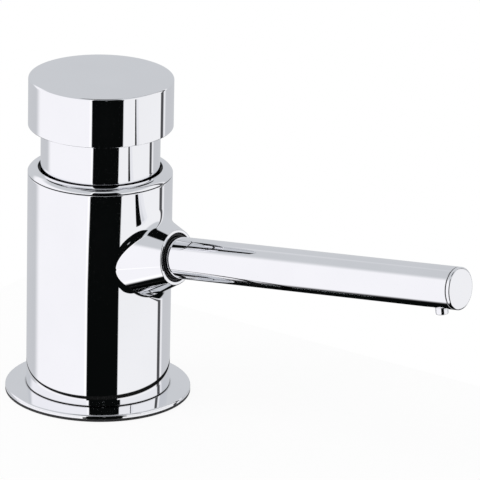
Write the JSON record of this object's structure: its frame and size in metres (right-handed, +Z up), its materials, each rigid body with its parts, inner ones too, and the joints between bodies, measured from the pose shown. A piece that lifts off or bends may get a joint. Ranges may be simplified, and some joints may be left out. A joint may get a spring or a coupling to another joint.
{
  "type": "built-in soap dispenser",
  "caption": "Worktop soap dispenser: round chromed body with a press cap and a long straight spout, its pump inside, and a threaded shank, clamp nut and soap bottle below the worktop.",
  "frame": {"origin": "centre of the flange gasket's underside, on the worktop, on the axis of the worktop's hole", "axes": "+Z up along the body's axis, +X horizontally the way the spout points, +Y to the spout's left seen from behind the body"},
  "size_m": [0.1597, 0.068, 0.2424],
  "materials": {
    "chrome": "mirror-polished chrome plating on turned brass",
    "steel": "bright stainless steel",
    "black_rubber": "matt moulded rubber",
    "white_plastic": "moulded plastic, satin",
    "grey_plastic": "moulded plastic, satin",
    "black_plastic": "moulded plastic, satin",
    "bottle_plastic": "milky blow-moulded plastic, satin"
  },
  "bodies": {
    "housing": {"flange_gasket": "black_rubber", "base_flange": "chrome", "body_shell": "chrome", "guide_ring": "chrome", "return_spring": "steel", "pump_barrel": "white_plastic", "valve_block": "white_plastic", "barrel_cap": "grey_plastic", "rod_seal": "black_rubber", "spout_tube": "chrome", "spout_seal_ring": "black_rubber", "spout_o_ring": "black_rubber", "spout_end_plug": "chrome", "spout_nozzle": "chrome", "delivery_tube": "white_plastic", "threaded_shank": "black_plastic", "bottle": "bottle_plastic", "bottle_seal": "black_rubber", "dip_tube": "white_plastic"},
    "plunger": {"press_cap": "chrome", "cap_sleeve": "chrome", "cap_insert": "white_plastic", "pump_rod": "steel", "piston": "grey_plastic", "piston_seal": "black_rubber"},
    "suction_valve": {"suction_ball": "steel"},
    "discharge_valve": {"discharge_ball": "steel"},
    "clamp_washers": {"rubber_washer": "black_rubber", "metal_washer": "steel"},
    "clamp_nut": {"mounting_nut": "black_plastic"}
  },
  "joints": [
    {"name": "cap_press", "type": "slide", "parent": "housing", "child": "plunger", "axis": [0, 0, -1], "range_m": [0, 0.0085], "stiffness_N_per_m": 700, "springref_m": -0.005, "deforming": ["return_spring"]},
    {"name": "suction_lift", "type": "slide", "parent": "housing", "child": "suction_valve", "axis": [0, 0, 1], "range_m": [0, 0.0012]},
    {"name": "discharge_lift", "type": "slide", "parent": "housing", "child": "discharge_valve", "axis": [0, 0, 1], "range_m": [0, 0.0012]},
    {"name": "clamp_slide", "type": "slide", "parent": "housing", "child": "clamp_washers", "axis": [0, 0, -1], "range_m": [0, 0.01]},
    {"name": "nut_turn", "type": "hinge", "parent": "clamp_washers", "child": "clamp_nut", "pos_m": [0, 0, -0.028], "axis": [0, 0, -1], "range_deg": [0, 1200]}
  ],
  "couplings": [
    {"joint": "clamp_slide", "follows": "nut_turn", "m_per_rad": 0.00047746}
  ]
}
